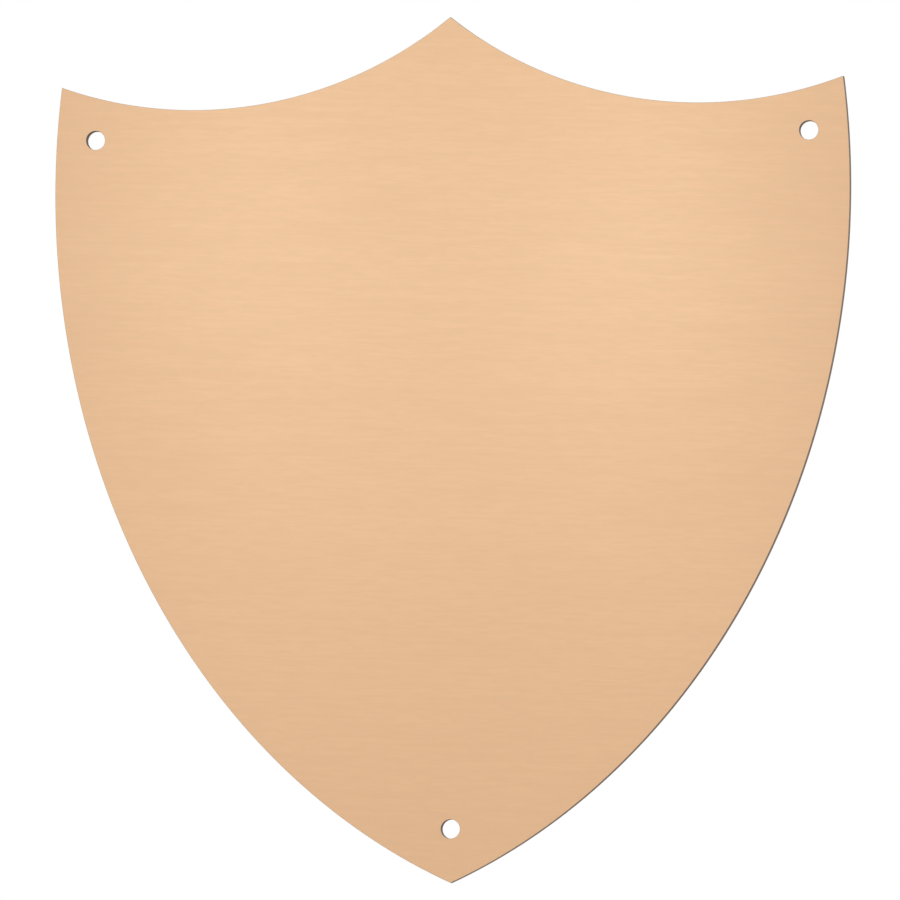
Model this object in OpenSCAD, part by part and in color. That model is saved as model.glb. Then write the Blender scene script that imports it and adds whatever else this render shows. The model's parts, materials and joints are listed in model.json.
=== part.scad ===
// Shield-shaped plaque blank, cut from one sheet of aluminium composite panel.
// The panel is a laminate: a brushed front skin and a plain rear skin, each
// held by a film of adhesive to a plastic core. Three screw holes go right
// through it. The plaque stands upright: +Z is up, the front faces -Y, and
// the origin is the middle of the rear face, which lies against the wall.

/* [Shield outline] */
// Width at the widest level
shield_w = 210; // [160:1:280]
// Height from the tip to the peak
shield_h = 226; // [180:1:300]
// How far the widest level lies below the peak
widest_drop = 45; // [30:1:65]
// Half width of the ellipse that each side follows, as a multiple of half
// the shield's width: a larger one makes the sides flatter and the tip sharper
side_sweep = 1.56; // [1.35:0.01:2.2]
// How far the two top corners lie below the peak
corner_drop = 17; // [8:1:24]
// Radius of each hollow curve between the peak and a corner
crest_r = 107; // [85:1:200]

/* [Laminate] */
// Thickness of the whole panel
panel_t = 3; // [2:0.1:6]
// Thickness of the brushed front skin
front_skin_t = 0.3; // [0.2:0.05:0.5]
// Thickness of the rear skin
rear_skin_t = 0.3; // [0.2:0.05:0.5]
// Thickness of each film of adhesive
bond_film_t = 0.06; // [0.04:0.01:0.1]

/* [Screw holes] */
// Diameter of the three holes, clearance for a No. 8 or 4.5 mm screw
hole_d = 5; // [3:0.1:8]
// From a top corner inwards to its hole
corner_hole_inset = 9; // [7:0.5:14]
// From a top corner down to its hole
corner_hole_drop = 14; // [10:0.5:25]
// From the tip up to the lowest hole
tip_hole_rise = 14; // [11:0.5:30]

/* [Hidden] */

// Facets of the large outline circles and of the small holes
$fn = 360;
hole_fn = 96;
// How far a cutter or a trim runs past what it cuts
overcut = 1;

// The outline is drawn flat, in the sheet's own plane: the peak is [0, 0],
// the tip is straight below it, and X runs to the right.
half_w = shield_w / 2;

// Each side is one stretch of an ellipse, from its corner to the tip. It is
// upright at the widest level, so the ellipse's centre lies on that level.
tip_drop = shield_h - widest_drop;
side_a = side_sweep * half_w;
side_b = tip_drop / sqrt(1 - (1 - half_w / side_a) ^ 2);
side_centre = [half_w - side_a, -widest_drop];

// A corner is the side's point at the corners' level
corner_rise = widest_drop - corner_drop;
corner = side_centre + [side_a * sqrt(1 - (corner_rise / side_b) ^ 2), corner_rise];

// Each hollow curve is a circle through the peak and a corner, with its
// centre above the straight line between them.
chord = norm(corner);
crest_lift = sqrt(crest_r ^ 2 - (chord / 2) ^ 2);
crest_centre = corner / 2 + crest_lift * [-corner.y, corner.x] / chord;

// Places of the three holes
corner_hole = [corner.x - corner_hole_inset, corner.y - corner_hole_drop];
hole_places = [
    corner_hole,
    [-corner_hole.x, corner_hole.y],
    [0, tip_hole_rise - shield_h]
];

// How far each layer's back lies in front of the wall
core_t = panel_t - front_skin_t - rear_skin_t - 2 * bond_film_t;
rear_bond_depth = rear_skin_t;
core_depth = rear_bond_depth + bond_film_t;
front_bond_depth = core_depth + core_t;
front_skin_depth = front_bond_depth + bond_film_t;

// Everything below a level just above the peak
module below_peak() {
    translate([-shield_w, overcut - 2 * shield_h]) square(2 * [shield_w, shield_h]);
}

// The ellipse that the right side follows
module side_ellipse() {
    translate(side_centre) scale([side_a / side_b, 1]) circle(r = side_b);
}

// The circle that the right hollow curve follows
module crest_circle() {
    translate(crest_centre) circle(r = crest_r);
}

// A flat shape made to run right through a layer and out on both sides
module through(thick) {
    translate([0, 0, -overcut]) linear_extrude(thick + 2 * overcut) children();
}

// One layer of the panel, stood up about the middle of its height: depth is
// how far its back lies in front of the wall, and thick is its thickness.
module layer(depth, thick) {
    translate([0, -depth, shield_h / 2]) rotate([90, 0, 0]) difference() {
        intersection() {
            linear_extrude(thick) below_peak();
            through(thick) side_ellipse();
            through(thick) mirror([1, 0]) side_ellipse();
        }
        through(thick) crest_circle();
        through(thick) mirror([1, 0]) crest_circle();
        for (place = hole_places)
            translate([place.x, place.y, -overcut])
                cylinder(d = hole_d, h = thick + 2 * overcut, $fn = hole_fn);
    }
}

// Brushed copper-coloured aluminium sheet that carries the finish
module front_skin() {
    color("#ECC59E") layer(front_skin_depth, front_skin_t);
}

// Adhesive film between the front skin and the core
module front_bond_film() {
    color("#B9B4A8") layer(front_bond_depth, bond_film_t);
}

// Dark plastic core, which gives the panel its stiffness
module core() {
    color("#78675D") layer(core_depth, core_t);
}

// Adhesive film between the core and the rear skin
module rear_bond_film() {
    color("#B9B4A8") layer(rear_bond_depth, bond_film_t);
}

// Plain aluminium sheet on the wall side
module rear_skin() {
    color("#B4B5B4") layer(0, rear_skin_t);
}

front_skin();
front_bond_film();
core();
rear_bond_film();
rear_skin();
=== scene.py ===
"""Looks for a shield-shaped plaque blank, cut from one composite panel.

Each layer of the panel is made again here with fine curves and eased edges,
in its own finish, and stands for the layer of the same place in the frame.
"""

import json
import math

import bmesh
import bpy
from mathutils import Matrix, Vector


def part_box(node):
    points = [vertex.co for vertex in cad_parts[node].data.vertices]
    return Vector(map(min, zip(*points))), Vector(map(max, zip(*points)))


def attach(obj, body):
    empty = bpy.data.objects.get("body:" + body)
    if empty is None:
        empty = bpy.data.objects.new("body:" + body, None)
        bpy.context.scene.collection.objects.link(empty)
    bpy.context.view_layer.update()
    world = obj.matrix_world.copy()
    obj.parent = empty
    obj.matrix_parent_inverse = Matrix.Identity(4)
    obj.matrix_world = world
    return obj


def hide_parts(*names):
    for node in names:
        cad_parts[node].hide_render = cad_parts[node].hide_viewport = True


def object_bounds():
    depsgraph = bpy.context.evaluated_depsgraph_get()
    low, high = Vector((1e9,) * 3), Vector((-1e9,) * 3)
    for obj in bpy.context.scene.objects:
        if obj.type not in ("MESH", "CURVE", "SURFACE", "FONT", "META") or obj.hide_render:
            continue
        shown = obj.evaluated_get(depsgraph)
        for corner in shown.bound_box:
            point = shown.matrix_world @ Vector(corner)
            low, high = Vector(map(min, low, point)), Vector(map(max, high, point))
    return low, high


bl_info = {
    "name": "Shield Plaque Blank",
    "version": (1, 0, 0),
    "blender": (4, 5, 0),
    "location": "View3D > Sidebar > Plaque",
    "description": "Makes a shield-shaped plaque blank of brushed composite panel",
    "category": "Object",
}

MM = 0.001

# A vertex this close to the mirror's plane is the peak or the tip
WELD = 0.01 * MM
# Edges that turn less than this are shaded smooth
SMOOTH_ANGLE = math.radians(25)

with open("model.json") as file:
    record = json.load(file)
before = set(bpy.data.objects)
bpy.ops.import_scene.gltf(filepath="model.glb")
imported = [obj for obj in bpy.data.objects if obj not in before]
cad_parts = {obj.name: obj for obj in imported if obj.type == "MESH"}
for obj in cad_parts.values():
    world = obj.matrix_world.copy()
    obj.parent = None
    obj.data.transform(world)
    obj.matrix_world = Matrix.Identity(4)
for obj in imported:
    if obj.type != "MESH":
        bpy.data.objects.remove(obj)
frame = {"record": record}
CAD_LOW, CAD_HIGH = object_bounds()
SCREW_HOLES = [m for m in frame["record"]["mounts"] if m["kind"] == "bore"]


# ---------------------------------------------------------------- settings


def length(name, description, default):
    """A property that holds a length in metres."""
    return bpy.props.FloatProperty(
        name=name, description=description, default=default, unit="LENGTH", precision=5
    )


def angle(name, description, degrees):
    """A property that holds an angle."""
    return bpy.props.FloatProperty(
        name=name, description=description, default=math.radians(degrees), subtype="ANGLE"
    )


def share(name, description, default):
    """A property that holds a share from 0 to 1."""
    return bpy.props.FloatProperty(
        name=name, description=description, default=default, min=0, max=1, subtype="FACTOR"
    )


def number(name, description, default):
    """A property that holds a plain number."""
    return bpy.props.FloatProperty(name=name, description=description, default=default)


def colour(name, description, default):
    """A property that holds a linear colour."""
    return bpy.props.FloatVectorProperty(
        name=name, description=description, default=default, size=3, min=0, max=1, subtype="COLOR"
    )


class PlaqueShape(bpy.types.PropertyGroup):
    """The outline's curves and how finely the sheets are made."""

    widest_drop: length("Widest level", "How far the widest level lies below the peak", 45 * MM)
    side_sweep: number("Side sweep", "Half width of each side's ellipse, over half the width", 1.56)
    corner_drop: length("Corner drop", "How far the top corners lie below the peak", 17 * MM)
    crest_radius: length("Crest radius", "Radius of the hollow curves at the top", 107 * MM)
    curve_step: length("Curve step", "Longest straight stretch along a curve", 1.2 * MM)
    hole_step: length("Hole step", "Longest straight stretch round a screw hole", 0.25 * MM)
    rim_ease: length("Rim ease", "How far the cutter rounds over a skin's outer rim", 0.07 * MM)
    core_ease: length("Core ease", "How far the cut core draws back at its two rims", 0.04 * MM)


class PlaqueFinish(bpy.types.PropertyGroup):
    """Colours and surface textures."""

    copper: colour("Copper tone", "The front skin's colour", (0.766, 0.486, 0.281))
    copper_dark: colour("Streak tone", "The colour of its darker hairlines", (0.740, 0.464, 0.265))
    copper_roughness: share("Copper roughness", "How soft its reflections are", 0.42)
    grain_sheen: share("Grain sheen", "How far glows stretch across the brushing", 0.6)
    grain_tilt: angle("Grain tilt", "How far the brushing runs off level", 2.1)
    grain_bump: share("Grain depth", "How strongly the brushing catches light", 0.12)
    # Cut aluminium's tone, darkened and warmed far below bare aluminium: painted shade on the
    # skins' cut edges
    shade_darkened_cut_metal: colour("Cut aluminium", "The skins' cut edges", (0.28, 0.21, 0.165))
    core: colour("Core", "The dark plastic core", (0.150, 0.099, 0.071))
    core_light: colour("Core scuff", "The core's paler cutter marks", (0.205, 0.145, 0.110))
    film: colour("Film", "The adhesive films", (0.17, 0.125, 0.10))
    primer: colour("Rear primer", "The coating on the rear skin", (0.45, 0.455, 0.45))


class PlaqueStage(bpy.types.PropertyGroup):
    """Camera, floor and lights."""

    azimuth: angle("Azimuth", "How far right of square the camera stands", 9.3)
    elevation: angle("Elevation", "How far above the middle the camera stands", -3.6)
    distance: length("Distance", "From the middle of the plaque to the camera", 3.0)
    view_width: length("View width", "Width that the camera frames at the plaque", 0.23455)
    aim_right: length("Aim right", "How far the camera aims right of the middle", -0.34 * MM)
    aim_up: length("Aim up", "How far the camera aims above the middle", -0.2 * MM)
    floor_gap: length("Floor gap", "From the tip down to the floor", 0.19)
    floor_radius: length("Floor radius", "From the floor's middle to its rim", 14.0)
    world_strength: number("Surrounding light", "Brightness of the white surroundings", 1.0)
    softbox_reach: length("Softbox reach", "From the plaque to the two softboxes", 0.38)
    softbox_spread: length("Softbox spread", "How far apart the softboxes' two glows lie", 0.12)
    softbox_rise: length("Softbox rise", "How far above the middle the glows lie", 0.060)
    softbox_size: length("Softbox size", "How wide each softbox is", 0.060)
    softbox_power: number("Softbox power", "Watts from each softbox", 0.048)
    softbox_tone: colour("Softbox tone", "The softboxes' colour", (0.80, 0.93, 1.0))


# --------------------------------------------------------------- materials


def new_material(name):
    """A material with a Principled shader, and its node tree and shader."""
    material = bpy.data.materials.new(name)
    material.use_nodes = True
    return material, material.node_tree, material.node_tree.nodes["Principled BSDF"]


def stretched_noise(tree, cell, turn=0.0, detail=3.0):
    """Noise whose cells measure cell = (x, y, z) in metres, turned about Y."""
    nodes, links = tree.nodes, tree.links
    where = nodes.new("ShaderNodeTexCoord")
    mapping = nodes.new("ShaderNodeMapping")
    mapping.vector_type = "TEXTURE"
    mapping.inputs["Rotation"].default_value = (0, turn, 0)
    mapping.inputs["Scale"].default_value = cell
    noise = nodes.new("ShaderNodeTexNoise")
    noise.inputs["Scale"].default_value = 1.0
    noise.inputs["Detail"].default_value = detail
    links.new(where.outputs["Object"], mapping.inputs["Vector"])
    links.new(mapping.outputs["Vector"], noise.inputs["Vector"])
    return noise.outputs["Fac"]


def colour_mix(tree, low, high, blend_type="MIX"):
    """A mix node of two colours, each a value or a socket, and its result."""
    mix = tree.nodes.new("ShaderNodeMix")
    mix.data_type = "RGBA"
    mix.blend_type = blend_type
    sockets = [s for s in mix.inputs if s.type == "RGBA"]
    for socket, value in zip(sockets, (low, high)):
        if isinstance(value, bpy.types.NodeSocket):
            tree.links.new(value, socket)
        else:
            socket.default_value = (*value, 1.0)
    return mix, next(s for s in mix.outputs if s.type == "RGBA")


def vary_number(tree, factor, socket, low, high, reach=(0.3, 0.7)):
    """Drives a number from low to high as factor crosses reach."""
    ramp = tree.nodes.new("ShaderNodeMapRange")
    ramp.inputs["From Min"].default_value, ramp.inputs["From Max"].default_value = reach
    ramp.inputs["To Min"].default_value = low
    ramp.inputs["To Max"].default_value = high
    tree.links.new(factor, ramp.inputs["Value"])
    tree.links.new(ramp.outputs["Result"], socket)


def blend_by(tree, factor, low, high, reach=(0.3, 0.7)):
    """A colour or grey that goes from low to high as factor crosses reach."""
    mix, result = colour_mix(tree, low, high)
    vary_number(tree, factor, mix.inputs["Factor"], 0.0, 1.0, reach)
    return result


def bump_from(tree, shader, height, depth, strength):
    """Raises the surface by height, where 1 is depth metres."""
    bump = tree.nodes.new("ShaderNodeBump")
    bump.inputs["Distance"].default_value = depth
    bump.inputs["Strength"].default_value = strength
    tree.links.new(height, bump.inputs["Height"])
    tree.links.new(bump.outputs["Normal"], shader.inputs["Normal"])


def tinted(tone, factor):
    """A colour made lighter or darker by factor."""
    return tuple(min(1.0, channel * factor) for channel in tone)


def brushed_copper(finish):
    """Copper-toned anodised aluminium with long, fine, level brushing."""
    material, tree, shader = new_material("brushed_copper_finish")
    tilt = finish.grain_tilt
    streaks = stretched_noise(tree, (30 * MM, 9 * MM, 1.1 * MM), tilt)
    flecks = stretched_noise(tree, (5 * MM, 5 * MM, 0.9 * MM), tilt, 2.0)
    hairlines = stretched_noise(tree, (14 * MM, 5 * MM, 0.11 * MM), tilt, 2.0)
    clouds = stretched_noise(tree, (90 * MM, 60 * MM, 40 * MM), tilt, 1.0)
    tone = blend_by(tree, streaks, finish.copper_dark, finish.copper, (0.0, 0.6))
    flecked = blend_by(tree, flecks, tinted(finish.copper, 0.965), tone, (0.3, 0.62))
    fine = blend_by(tree, hairlines, tinted(finish.copper, 0.95), flecked, (0.2, 0.5))
    shade = blend_by(tree, clouds, (0.985, 0.982, 0.978), (1.0, 1.0, 1.0))
    cloudy, result = colour_mix(tree, fine, shade, "MULTIPLY")
    cloudy.inputs["Factor"].default_value = 1.0
    tree.links.new(result, shader.inputs["Base Color"])
    shader.inputs["Metallic"].default_value = 1.0
    shader.inputs["Anisotropic"].default_value = finish.grain_sheen
    shader.inputs["Anisotropic Rotation"].default_value = 0.25
    shader.inputs["Coat Weight"].default_value = 0.6
    shader.inputs["Coat Roughness"].default_value = 0.3
    shader.inputs["Coat IOR"].default_value = 1.5
    rough = finish.copper_roughness
    vary_number(tree, streaks, shader.inputs["Roughness"], rough + 0.01, rough - 0.01)
    tangent = tree.nodes.new("ShaderNodeTangent")
    tangent.direction_type = "UV_MAP"
    tangent.uv_map = "grain"
    tree.links.new(tangent.outputs["Tangent"], shader.inputs["Tangent"])
    bump_from(tree, shader, hairlines, 0.02 * MM, finish.grain_bump)
    return material


def shade_darkened_aluminium(finish):
    """Freshly cut aluminium with cutter marks across the sheet's edge; its tone is painted shade,
    far darker and warmer than bare aluminium.
    """
    material, tree, shader = new_material("shade_darkened_cut_aluminium")
    marks = stretched_noise(tree, (0.16 * MM, 4 * MM, 0.16 * MM))
    # Painted shade: the cut edge's tone is set far darker than bare aluminium, with darker cutter
    # marks in it
    tone = blend_by(tree, marks, tinted(finish.shade_darkened_cut_metal, 0.78), finish.shade_darkened_cut_metal)
    tree.links.new(tone, shader.inputs["Base Color"])
    shader.inputs["Metallic"].default_value = 1.0
    vary_number(tree, marks, shader.inputs["Roughness"], 0.28, 0.5)
    bump_from(tree, shader, marks, 0.01 * MM, 0.4)
    return material


def core_plastic(finish):
    """Dark plastic, dull and slightly torn where the cutter passed."""
    material, tree, shader = new_material("dark_core_plastic")
    marks = stretched_noise(tree, (0.25 * MM, 6 * MM, 0.25 * MM), detail=4.0)
    specks = stretched_noise(tree, (0.5 * MM, 0.35 * MM, 0.5 * MM), detail=4.0)
    scuffed = blend_by(tree, marks, finish.core, finish.core_light, (0.35, 0.75))
    tone = blend_by(tree, specks, tinted(finish.core, 0.7), scuffed, (0.25, 0.45))
    tree.links.new(tone, shader.inputs["Base Color"])
    vary_number(tree, marks, shader.inputs["Roughness"], 0.62, 0.85)
    shader.inputs["Specular IOR Level"].default_value = 0.35
    bump_from(tree, shader, marks, 0.03 * MM, 0.5)
    return material


def bond_adhesive(finish):
    """Thin greyish adhesive film, seen only at the panel's cut edge."""
    material, tree, shader = new_material("bond_adhesive")
    patches = stretched_noise(tree, (0.6 * MM, 0.3 * MM, 0.6 * MM))
    tone = blend_by(tree, patches, tinted(finish.film, 0.75), finish.film)
    tree.links.new(tone, shader.inputs["Base Color"])
    vary_number(tree, patches, shader.inputs["Roughness"], 0.4, 0.6)
    return material


def grey_primer(finish):
    """Thin grey coil coating: orange peel, rolling lines and fine scuffs."""
    material, tree, shader = new_material("grey_rear_primer")
    peel = stretched_noise(tree, (1.1 * MM, 1.1 * MM, 1.1 * MM), detail=2.0)
    rolling = stretched_noise(tree, (70 * MM, 20 * MM, 1.2 * MM), finish.grain_tilt)
    mottle = stretched_noise(tree, (28 * MM, 28 * MM, 22 * MM), detail=4.0)
    tone = blend_by(tree, rolling, tinted(finish.primer, 0.95), finish.primer)
    tone = blend_by(tree, mottle, tone, tinted(finish.primer, 1.035), (0.42, 0.75))
    for turn, cell in ((0.62, 24 * MM), (-0.38, 32 * MM), (1.35, 18 * MM)):
        scuffs = stretched_noise(tree, (cell, 20 * MM, 0.16 * MM), turn, 1.0)
        tone = blend_by(tree, scuffs, tone, tinted(finish.primer, 1.22), (0.76, 0.84))
    tree.links.new(tone, shader.inputs["Base Color"])
    shader.inputs["Metallic"].default_value = 0.25
    vary_number(tree, rolling, shader.inputs["Roughness"], 0.46, 0.56)
    bump_from(tree, shader, peel, 0.02 * MM, 0.35)
    return material


def pale_floor():
    """Plain pale studio floor."""
    material, tree, shader = new_material("pale_studio_floor")
    tone = stretched_noise(tree, (0.8, 0.8, 0.8), detail=2.0)
    paint = blend_by(tree, tone, (0.79, 0.745, 0.70), (0.82, 0.775, 0.73))
    tree.links.new(paint, shader.inputs["Base Color"])
    shader.inputs["Roughness"].default_value = 0.7
    return material


# ------------------------------------------------------------------ shapes


def bearing(point, centre):
    """Direction of point from centre, from +Z towards +X, in radians."""
    return math.atan2(point.x - centre.x, point.z - centre.z)


def sweep(bm, vertex, centre, end, step):
    """Spins a vertex about centre to end, and gives the last vertex."""
    turn = bearing(end, centre) - bearing(vertex.co, centre)
    turn = (turn + math.pi) % (2 * math.pi) - math.pi
    radius = (vertex.co - centre).length
    steps = math.ceil(abs(turn) * radius / step)
    spun = bmesh.ops.spin(
        bm, geom=[vertex], cent=centre, axis=(0, 1, 0), angle=turn, steps=steps
    )
    return next(v for v in spun["geom_last"] if isinstance(v, bmesh.types.BMVert))


def draw_outline(bm, shape, depth):
    """Draws the shield's closed outline in the plane at depth."""
    half_width, peak_level, tip_level = CAD_HIGH.x, CAD_HIGH.z, CAD_LOW.z
    widest_level = peak_level - shape.widest_drop
    tip_drop = widest_level - tip_level
    corner_rise = shape.widest_drop - shape.corner_drop

    # A side is a circle's stretch from the tip to the corner, squeezed in X
    # into the ellipse that passes through both.
    ellipse_a = shape.side_sweep * half_width
    ellipse_b = tip_drop / math.sqrt(1 - (1 - half_width / ellipse_a) ** 2)
    squeeze = ellipse_a / ellipse_b
    side_centre = Vector((half_width - ellipse_a, depth, widest_level))
    tip = side_centre + Vector((-side_centre.x / squeeze, 0, -tip_drop))
    corner_reach = math.sqrt(ellipse_b**2 - corner_rise**2)
    corner = side_centre + Vector((corner_reach, 0, corner_rise))
    start = bmesh.ops.create_vert(bm, co=tip)["vert"][0]
    turn_point = sweep(bm, start, side_centre, corner, shape.curve_step)
    about_centre = Matrix.Translation(-side_centre)
    bmesh.ops.scale(bm, vec=(squeeze, 1, 1), space=about_centre, verts=bm.verts[:])

    # From the corner, a hollow curve runs up to the peak.
    peak = Vector((0, depth, peak_level))
    chord = turn_point.co - peak
    lift = math.sqrt(shape.crest_radius**2 - (chord.length / 2) ** 2)
    across = Vector((-chord.z, 0, chord.x)).normalized()
    crest_centre = (peak + turn_point.co) / 2 + lift * across
    sweep(bm, turn_point, crest_centre, peak, shape.curve_step)
    bmesh.ops.mirror(bm, geom=bm.verts[:] + bm.edges[:], axis="X", merge_dist=WELD)


def draw_screw_holes(bm, shape, depth):
    """Draws the rims of the screw holes in the plane at depth."""
    for hole in SCREW_HOLES:
        radius = hole["dims"]["r_mm"] * MM
        x, _, z = hole["pos_m"]
        upright = Matrix.Translation((x, depth, z)) @ Matrix.Rotation(math.pi / 2, 4, "X")
        segments = 4 * math.ceil(math.tau * radius / shape.hole_step / 4)
        bmesh.ops.create_circle(bm, segments=segments, radius=radius, matrix=upright)


def faces_out(face, way):
    """True if a face looks along Y: way is -1 for the front and 1 for the back."""
    return face.normal.y * way > 0.999


def ease_rims(bm, way, ease):
    """Rounds over the rims of the face that looks along way."""
    rims = [
        e
        for e in bm.edges
        if len(e.link_faces) == 2
        and sum(faces_out(f, way) for f in e.link_faces) == 1
    ]
    bmesh.ops.bevel(
        bm, geom=rims, offset=ease, offset_type="OFFSET", segments=2,
        affect="EDGES", profile=0.5, material=-1, clamp_overlap=True,
    )


def lay_grain(bm, tilt):
    """Lays a flat map over the piece, whose U runs along the brushing."""
    grain = bm.loops.layers.uv.new("grain")
    turned = Matrix.Rotation(tilt, 2)
    scale = 1 / (CAD_HIGH.z - CAD_LOW.z)
    for face in bm.faces:
        for loop in face.loops:
            place = turned @ Vector((loop.vert.co.x, loop.vert.co.z))
            loop[grain].uv = place * scale + Vector((0.5, 0.5))


def make_layer(name, node, materials, eased, finish_tilt=None):
    """Makes one layer of the panel in the place of a frame node.

    eased lists (way, ease): the sides whose rims are rounded, and how far.
    The first material is for the two large faces, the last for the edges.
    """
    shape = bpy.context.scene.plaque_shape
    low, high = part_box(node)
    bm = bmesh.new()
    draw_outline(bm, shape, low.y)
    draw_screw_holes(bm, shape, low.y)
    bmesh.ops.triangle_fill(
        bm, edges=bm.edges[:], use_beauty=True, use_dissolve=False, normal=(0, -1, 0)
    )
    front = bm.faces[:]
    walls = bmesh.ops.extrude_face_region(bm, geom=front, use_keep_orig=True)
    moved = [v for v in walls["geom"] if isinstance(v, bmesh.types.BMVert)]
    bmesh.ops.translate(bm, verts=moved, vec=(0, high.y - low.y, 0))
    bmesh.ops.recalc_face_normals(bm, faces=bm.faces[:])
    for way, ease in eased:
        ease_rims(bm, way, ease)
    bmesh.ops.recalc_face_normals(bm, faces=bm.faces[:])
    for face in bm.faces:
        flat = faces_out(face, -1) or faces_out(face, 1)
        face.smooth = not flat
        face.material_index = 0 if flat else len(materials) - 1
    if finish_tilt is not None:
        lay_grain(bm, finish_tilt)
    for edge in bm.edges:
        edge.smooth = len(edge.link_faces) == 2 and edge.calc_face_angle(0) < SMOOTH_ANGLE
    mesh = bpy.data.meshes.new(name)
    bm.to_mesh(mesh)
    bm.free()
    for material in materials:
        mesh.materials.append(material)
    piece = bpy.data.objects.new(name, mesh)
    bpy.context.scene.collection.objects.link(piece)
    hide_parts(node)
    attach(piece, "root")
    return piece


# --------------------------------------------------------------- operators


class PLAQUE_OT_front_sheet(bpy.types.Operator):
    """Makes the brushed copper-toned front skin"""

    bl_idname = "plaque.front_sheet"
    bl_label = "Front Sheet"

    def execute(self, context):
        shape, finish = context.scene.plaque_shape, context.scene.plaque_finish
        materials = [brushed_copper(finish), shade_darkened_aluminium(finish)]
        piece = make_layer(
            "front_sheet", "front_skin", materials, [(-1, shape.rim_ease)], finish.grain_tilt
        )
        return {"FINISHED"}


class PLAQUE_OT_bond_films(bpy.types.Operator):
    """Makes the two adhesive films"""

    bl_idname = "plaque.bond_films"
    bl_label = "Bond Films"

    def execute(self, context):
        material = bond_adhesive(context.scene.plaque_finish)
        for side in ("front", "rear"):
            node = side + "_bond_film"
            piece = make_layer(side + "_adhesive", node, [material], [])
        return {"FINISHED"}


class PLAQUE_OT_core_slab(bpy.types.Operator):
    """Makes the dark plastic core"""

    bl_idname = "plaque.core_slab"
    bl_label = "Core Slab"

    def execute(self, context):
        ease = context.scene.plaque_shape.core_ease
        material = core_plastic(context.scene.plaque_finish)
        piece = make_layer("core_slab", "core", [material], [(-1, ease), (1, ease)])
        return {"FINISHED"}


class PLAQUE_OT_rear_sheet(bpy.types.Operator):
    """Makes the primed rear skin"""

    bl_idname = "plaque.rear_sheet"
    bl_label = "Rear Sheet"

    def execute(self, context):
        shape, finish = context.scene.plaque_shape, context.scene.plaque_finish
        materials = [grey_primer(finish), shade_darkened_aluminium(finish)]
        piece = make_layer("rear_sheet", "rear_skin", materials, [(1, shape.rim_ease)])
        return {"FINISHED"}


def add_softbox(name, place, target, stage):
    """A soft round light that isn't seen itself."""
    light = bpy.data.lights.new(name, "AREA")
    light.shape = "DISK"
    light.size = stage.softbox_size
    light.energy = stage.softbox_power
    light.color = stage.softbox_tone
    softbox = bpy.data.objects.new(name, light)
    softbox.location = place
    softbox.rotation_euler = (target - place).to_track_quat("-Z", "Y").to_euler()
    softbox.visible_camera = False
    bpy.context.scene.collection.objects.link(softbox)


def add_camera(stage, middle):
    """A long-lens camera that looks at the plaque from low on its right."""
    back = Vector((
        math.sin(stage.azimuth) * math.cos(stage.elevation),
        -math.cos(stage.azimuth) * math.cos(stage.elevation),
        math.sin(stage.elevation),
    ))
    facing = (-back).to_track_quat("-Z", "Y").to_matrix()
    aim = middle + facing @ Vector((stage.aim_right, stage.aim_up, 0))
    lens = bpy.data.cameras.new("camera")
    lens.lens = lens.sensor_width * stage.distance / stage.view_width
    lens.clip_end = 100
    camera = bpy.data.objects.new("camera", lens)
    camera.matrix_world = Matrix.Translation(aim + back * stage.distance) @ facing.to_4x4()
    bpy.context.scene.collection.objects.link(camera)
    bpy.context.scene.camera = camera


def add_glow_lights(stage, middle):
    """Two softboxes that the camera sees mirrored, softly, in the face."""
    mirrored = Vector((
        -math.sin(stage.azimuth) * math.cos(stage.elevation),
        -math.cos(stage.azimuth) * math.cos(stage.elevation),
        -math.sin(stage.elevation),
    ))
    for name, side in (("softbox_left", -0.5), ("softbox_right", 0.5)):
        glow = middle + Vector((side * stage.softbox_spread, 0, stage.softbox_rise))
        add_softbox(name, glow + mirrored * stage.softbox_reach, glow, stage)


def add_floor(stage, level):
    """A wide pale floor below the plaque."""
    bm = bmesh.new()
    bmesh.ops.create_circle(
        bm, cap_ends=True, segments=96, radius=stage.floor_radius,
        matrix=Matrix.Translation((0, 0, level)),
    )
    mesh = bpy.data.meshes.new("floor")
    bm.to_mesh(mesh)
    bm.free()
    mesh.materials.append(pale_floor())
    floor = bpy.data.objects.new("floor", mesh)
    bpy.context.scene.collection.objects.link(floor)


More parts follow.
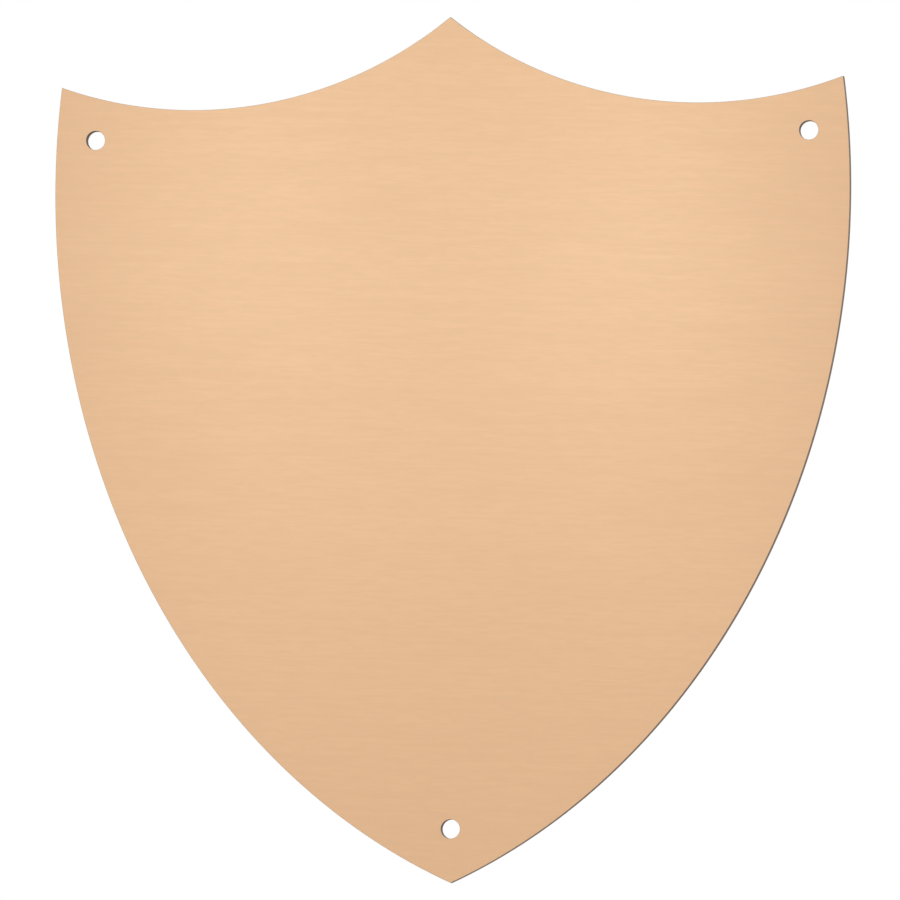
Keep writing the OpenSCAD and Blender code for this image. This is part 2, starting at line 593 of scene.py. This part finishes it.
class PLAQUE_OT_stage(bpy.types.Operator):
    """Sets up the floor, the white surroundings, the lights and the camera"""

    bl_idname = "plaque.stage"
    bl_label = "Stage"

    def execute(self, context):
        stage = context.scene.plaque_stage
        middle = (CAD_LOW + CAD_HIGH) / 2
        world = bpy.data.worlds.new("white_surroundings")
        world.use_nodes = True
        surroundings = world.node_tree.nodes["Background"]
        surroundings.inputs["Color"].default_value = (1, 1, 1, 1)
        surroundings.inputs["Strength"].default_value = stage.world_strength
        context.scene.world = world
        context.scene.view_settings.view_transform = "Standard"
        add_floor(stage, CAD_LOW.z - stage.floor_gap)
        add_camera(stage, middle)
        add_glow_lights(stage, middle)
        return {"FINISHED"}


# ---------------------------------------------------------------- sidebar

OPERATORS = [
    PLAQUE_OT_front_sheet,
    PLAQUE_OT_bond_films,
    PLAQUE_OT_core_slab,
    PLAQUE_OT_rear_sheet,
    PLAQUE_OT_stage,
]
GROUPS = {
    "plaque_shape": PlaqueShape,
    "plaque_finish": PlaqueFinish,
    "plaque_stage": PlaqueStage,
}


class PLAQUE_PT_sidebar(bpy.types.Panel):
    """Lists the plaque's settings and the steps that make it"""

    bl_idname = "PLAQUE_PT_sidebar"
    bl_label = "Shield Plaque"
    bl_space_type = "VIEW_3D"
    bl_region_type = "UI"
    bl_category = "Plaque"

    def draw(self, context):
        for group in GROUPS:
            box = self.layout.box()
            settings = getattr(context.scene, group)
            for name in settings.__annotations__:
                box.prop(settings, name)
        for operator in OPERATORS:
            self.layout.operator(operator.bl_idname)


def register():
    for cls in (*GROUPS.values(), *OPERATORS, PLAQUE_PT_sidebar):
        bpy.utils.register_class(cls)
    for name, group in GROUPS.items():
        setattr(bpy.types.Scene, name, bpy.props.PointerProperty(type=group))


def unregister():
    for name in GROUPS:
        delattr(bpy.types.Scene, name)
    for cls in (PLAQUE_PT_sidebar, *reversed(OPERATORS), *reversed(GROUPS.values())):
        bpy.utils.unregister_class(cls)


def main():
    """Makes the plaque and its stage."""
    register()
    bpy.ops.plaque.front_sheet()
    bpy.ops.plaque.bond_films()
    bpy.ops.plaque.core_slab()
    bpy.ops.plaque.rear_sheet()
    bpy.ops.plaque.stage()


if __name__ == "__main__":
    main()
